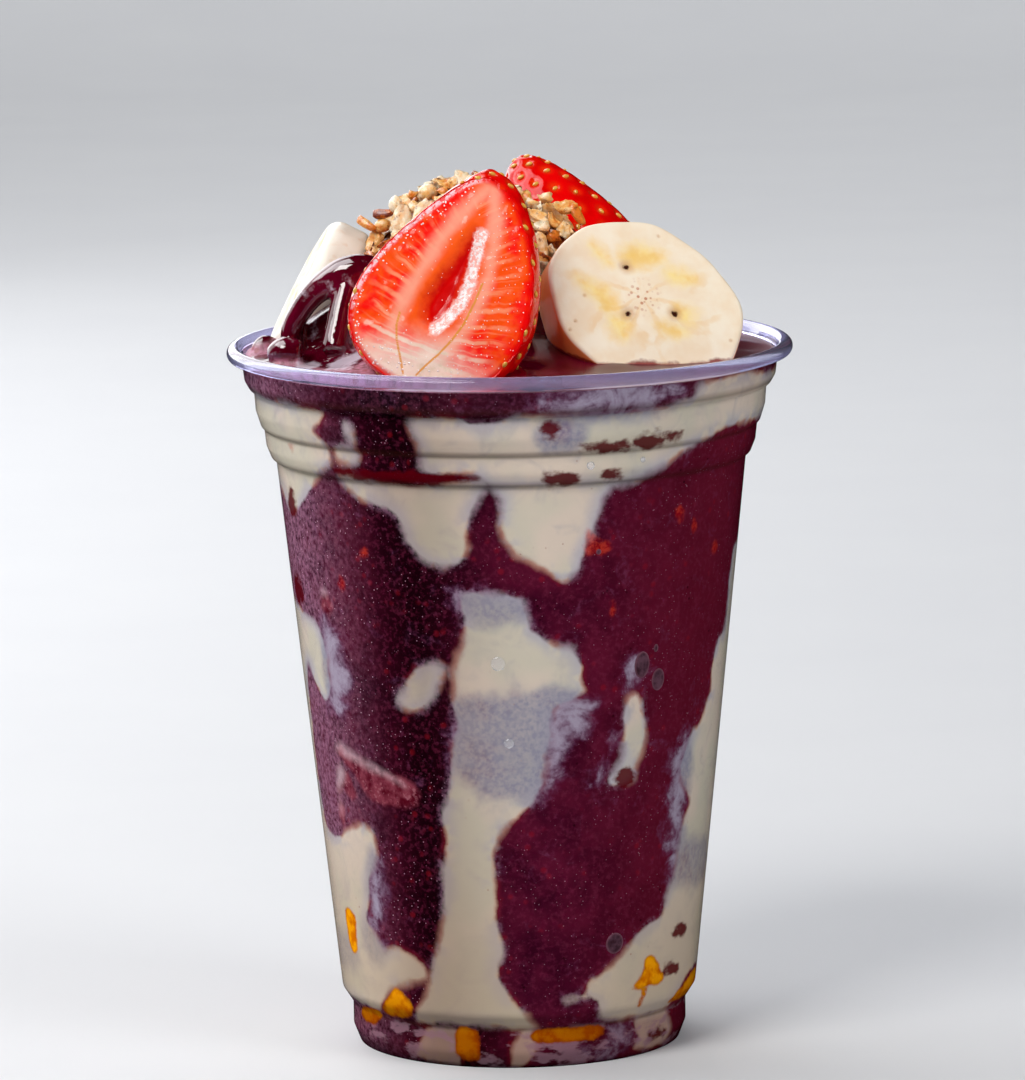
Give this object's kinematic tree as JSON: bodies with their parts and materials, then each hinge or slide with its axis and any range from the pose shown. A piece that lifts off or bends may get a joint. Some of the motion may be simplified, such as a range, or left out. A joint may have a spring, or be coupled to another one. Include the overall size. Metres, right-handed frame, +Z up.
{
  "type": "acai ice cream cup",
  "caption": "Clear plastic cup filled to the brim with soft acai and swirled cream, topped with strawberry, banana and granola.",
  "frame": {"origin": "middle of the ring that the cup stands on", "axes": "+Z up through the cup's axis, +X to the right of the front view, the front towards -Y"},
  "size_m": [0.098, 0.098, 0.155],
  "materials": {
    "clear_cup": "clear thin plastic sheet, glossy",
    "acai": "smooth dark purple acai, wet and glossy, with cream swirled through it",
    "strawberry": "wet red skin with sunk seeds, and a paler cut face",
    "banana": "moist cream-coloured flesh",
    "granola": "toasted oats and nuts"
  },
  "bodies": {
    "root": {"cup": "clear_cup", "acai": "acai", "strawberry_front": "strawberry", "strawberry_back": "strawberry", "banana_right": "banana", "banana_left": "banana", "granola": "granola"}
  },
  "joints": []
}
